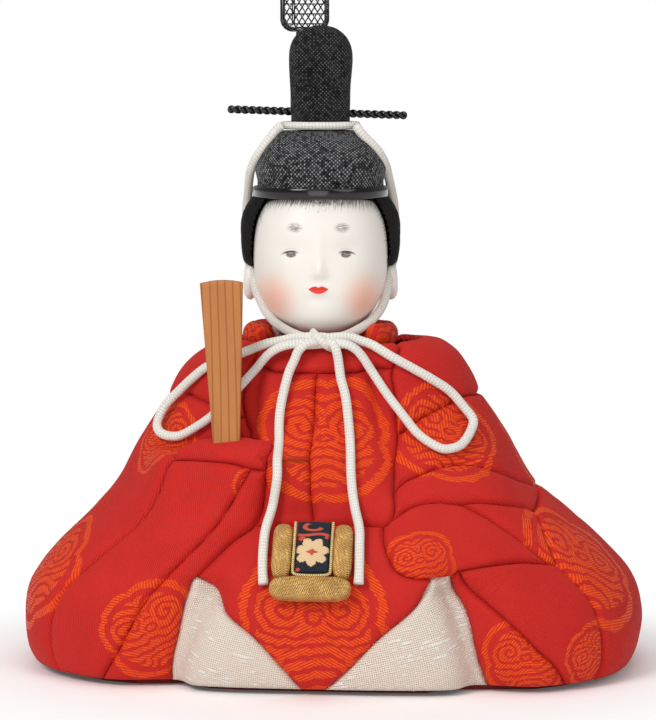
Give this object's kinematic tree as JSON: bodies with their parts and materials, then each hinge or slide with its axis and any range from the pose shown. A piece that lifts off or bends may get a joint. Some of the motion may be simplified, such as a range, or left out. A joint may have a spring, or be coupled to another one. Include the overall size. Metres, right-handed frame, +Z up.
{
  "type": "seated court doll",
  "caption": "Seated court doll of moulded paste and tucked cloth panels, with a white head on a neck peg, tall black cap, braided cord and wooden tablet.",
  "frame": {"origin": "bottom centre of the bounding box, on the surface that the doll sits on", "axes": "+Z up, -Y the way the doll's chest faces, +X the doll's left"},
  "size_m": [0.1532, 0.1068, 0.206],
  "materials": {
    "wood_paste": "moulded sawdust and paste, dull",
    "red_cloth": "red silk crepe woven with orange roundels",
    "collar_cloth": "red silk crepe over a padded roll",
    "ivory_cloth": "ivory brocade in a basket weave",
    "base_paper": "dark red paper, matte",
    "pale_silk": "pale pink silk",
    "shell_white": "polished white shell paint over wood paste",
    "bare_wood": "bare turned wood",
    "tablet_wood": "orange-brown wood with dark grain",
    "black_thread": "black silk thread laid as hair",
    "black_gauze": "stiff lacquered gauze",
    "black_lacquer": "gloss black lacquer",
    "gold_brocade": "straw-gold thread, woven",
    "navy_brocade": "navy brocade with a cream flower",
    "gold_cord": "fine gold thread cord",
    "white_cord": "white braided silk cord"
  },
  "bodies": {
    "body": {"body_core": "wood_paste", "base_cover": "base_paper", "back_hem_panel": "red_cloth", "back_panel_left": "red_cloth", "back_panel_right": "red_cloth", "chest_band": "red_cloth", "chest_panel_left": "red_cloth", "chest_panel_right": "red_cloth", "apron_panel": "red_cloth", "left_cuff_panel": "red_cloth", "left_fold_panel": "red_cloth", "left_front_sleeve_panel": "red_cloth", "left_inner_sleeve_panel": "red_cloth", "left_outer_sleeve_panel": "red_cloth", "left_shoulder_panel": "red_cloth", "left_sliver_panel": "red_cloth", "left_upper_sleeve_panel": "red_cloth", "right_front_sleeve_panel": "red_cloth", "right_inner_sleeve_panel": "red_cloth", "right_outer_sleeve_panel": "red_cloth", "right_shoulder_panel": "red_cloth", "hakama_left": "ivory_cloth", "hakama_right": "ivory_cloth", "outer_collar": "collar_cloth", "inner_collar": "pale_silk", "waist_roll_right": "gold_brocade", "waist_roll_left": "gold_brocade", "waist_roll_lower": "gold_brocade", "waist_band": "navy_brocade", "waist_trim_cord": "gold_cord"},
    "neck": {"neck_peg": "bare_wood", "cord_knot": "white_cord", "bow_loop_right": "white_cord", "bow_loop_left": "white_cord", "cord_tail_right": "white_cord", "cord_tail_left": "white_cord"},
    "head": {"head": "shell_white", "hair_left": "black_thread", "hair_right": "black_thread", "hair_back": "black_thread", "cap_rim": "black_lacquer", "cap_crown": "black_gauze", "cap_koji": "black_gauze", "tail_socket": "black_lacquer", "cap_cord_ring": "white_cord", "chin_cord_right": "white_cord", "chin_cord_left": "white_cord"},
    "tail": {"cap_tail": "black_gauze"},
    "pin": {"hairpin": "black_lacquer"},
    "tablet": {"shaku": "tablet_wood"}
  },
  "joints": [
    {"name": "head_lift", "type": "slide", "parent": "body", "child": "neck", "axis": [0, 0, 1], "range_m": [0, 0.022]},
    {"name": "head_turn", "type": "hinge", "parent": "neck", "child": "head", "pos_m": [-0.0032, -0.001, 0.082], "axis": [0, 0, 1], "range_deg": [-12, 12], "deforming": ["chin_cord_right", "chin_cord_left"]},
    {"name": "tail_lift", "type": "slide", "parent": "head", "child": "tail", "axis": [0, 0, 1], "range_m": [0, 0.01]},
    {"name": "hairpin_slide", "type": "slide", "parent": "head", "child": "pin", "axis": [-0.9939, -0.1045, 0.0349], "range_m": [0, 0.03]},
    {"name": "tablet_lift", "type": "slide", "parent": "body", "child": "tablet", "axis": [-0.0297, 0, 0.9996], "range_m": [0, 0.012]}
  ]
}
